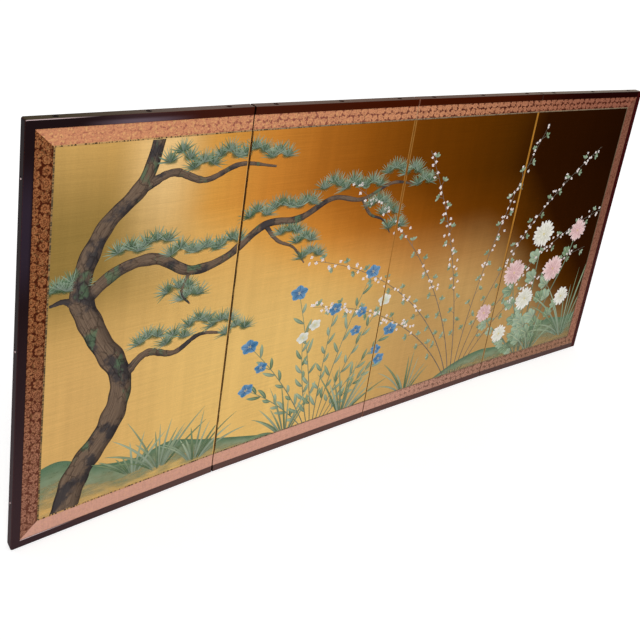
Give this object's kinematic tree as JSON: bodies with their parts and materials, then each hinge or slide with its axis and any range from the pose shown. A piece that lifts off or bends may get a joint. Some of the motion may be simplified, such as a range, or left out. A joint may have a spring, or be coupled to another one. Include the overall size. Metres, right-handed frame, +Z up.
{
  "type": "byobu folding screen",
  "caption": "Low folding screen of hinged panels with a lacquered frame, brocade border and painted gold silk, folding like an accordion.",
  "frame": {"origin": "on the floor, in the middle of the box round the standing screen", "axes": "+X along the screen to the right as seen from the painted side, +Y from the painted side to the back, +Z up"},
  "size_m": [1.8376, 0.0438, 0.914],
  "materials": {
    "lacquer": "glossy maroon-black lacquer on wood",
    "core_wood": "plain planed cedar",
    "lattice_wood": "plain planed cedar",
    "underlay_paper": "matt fibrous paper",
    "painted_silk": "gold-toned silk with painted design, soft metallic sheen",
    "brocade": "copper and brown woven floral brocade",
    "edging": "narrow woven dark and gold band",
    "back_paper": "plain toned mulberry paper",
    "nail_steel": "blackened steel",
    "hinge_paper": "tough folded mulberry paper, dark"
  },
  "bodies": {
    "panel_1": {"fold_1_left_leaves": "hinge_paper", "left_end_stile": "lacquer", "panel_1_back_paper": "back_paper", "panel_1_bottom_rail": "lacquer", "panel_1_brocade_border": "brocade", "panel_1_core_rails": "core_wood", "panel_1_core_stiles": "core_wood", "panel_1_edging_strip": "edging", "panel_1_frame_nails": "nail_steel", "panel_1_lattice_crossbars": "lattice_wood", "panel_1_lattice_uprights": "lattice_wood", "panel_1_painting": "painted_silk", "panel_1_top_rail": "lacquer", "panel_1_underlay_papers": "underlay_paper"},
    "panel_2": {"fold_1_right_leaves": "hinge_paper", "fold_2_left_leaves": "hinge_paper", "panel_2_back_paper": "back_paper", "panel_2_bottom_rail": "lacquer", "panel_2_brocade_border": "brocade", "panel_2_core_rails": "core_wood", "panel_2_core_stiles": "core_wood", "panel_2_edging_strip": "edging", "panel_2_frame_nails": "nail_steel", "panel_2_lattice_crossbars": "lattice_wood", "panel_2_lattice_uprights": "lattice_wood", "panel_2_painting": "painted_silk", "panel_2_top_rail": "lacquer", "panel_2_underlay_papers": "underlay_paper"},
    "panel_3": {"fold_2_right_leaves": "hinge_paper", "fold_3_left_leaves": "hinge_paper", "panel_3_back_paper": "back_paper", "panel_3_bottom_rail": "lacquer", "panel_3_brocade_border": "brocade", "panel_3_core_rails": "core_wood", "panel_3_core_stiles": "core_wood", "panel_3_edging_strip": "edging", "panel_3_frame_nails": "nail_steel", "panel_3_lattice_crossbars": "lattice_wood", "panel_3_lattice_uprights": "lattice_wood", "panel_3_painting": "painted_silk", "panel_3_top_rail": "lacquer", "panel_3_underlay_papers": "underlay_paper"},
    "panel_4": {"fold_3_right_leaves": "hinge_paper", "panel_4_back_paper": "back_paper", "panel_4_bottom_rail": "lacquer", "panel_4_brocade_border": "brocade", "panel_4_core_rails": "core_wood", "panel_4_core_stiles": "core_wood", "panel_4_edging_strip": "edging", "panel_4_frame_nails": "nail_steel", "panel_4_lattice_crossbars": "lattice_wood", "panel_4_lattice_uprights": "lattice_wood", "panel_4_painting": "painted_silk", "panel_4_top_rail": "lacquer", "panel_4_underlay_papers": "underlay_paper", "right_end_stile": "lacquer"}
  },
  "joints": [
    {"name": "fold_1", "type": "hinge", "parent": "panel_1", "child": "panel_2", "pos_m": [-0.45981, -0.00459, 0], "axis": [0, 0, -1], "range_deg": [-1.9, 178.1]},
    {"name": "fold_2", "type": "hinge", "parent": "panel_2", "child": "panel_3", "pos_m": [0.00006, 0.02202, 0], "axis": [0, 0, 1], "range_deg": [-1.2, 180.8]},
    {"name": "fold_3", "type": "hinge", "parent": "panel_3", "child": "panel_4", "pos_m": [0.45983, -0.00639, 0], "axis": [0, 0, -1], "range_deg": [-1.45, 178.55]}
  ]
}
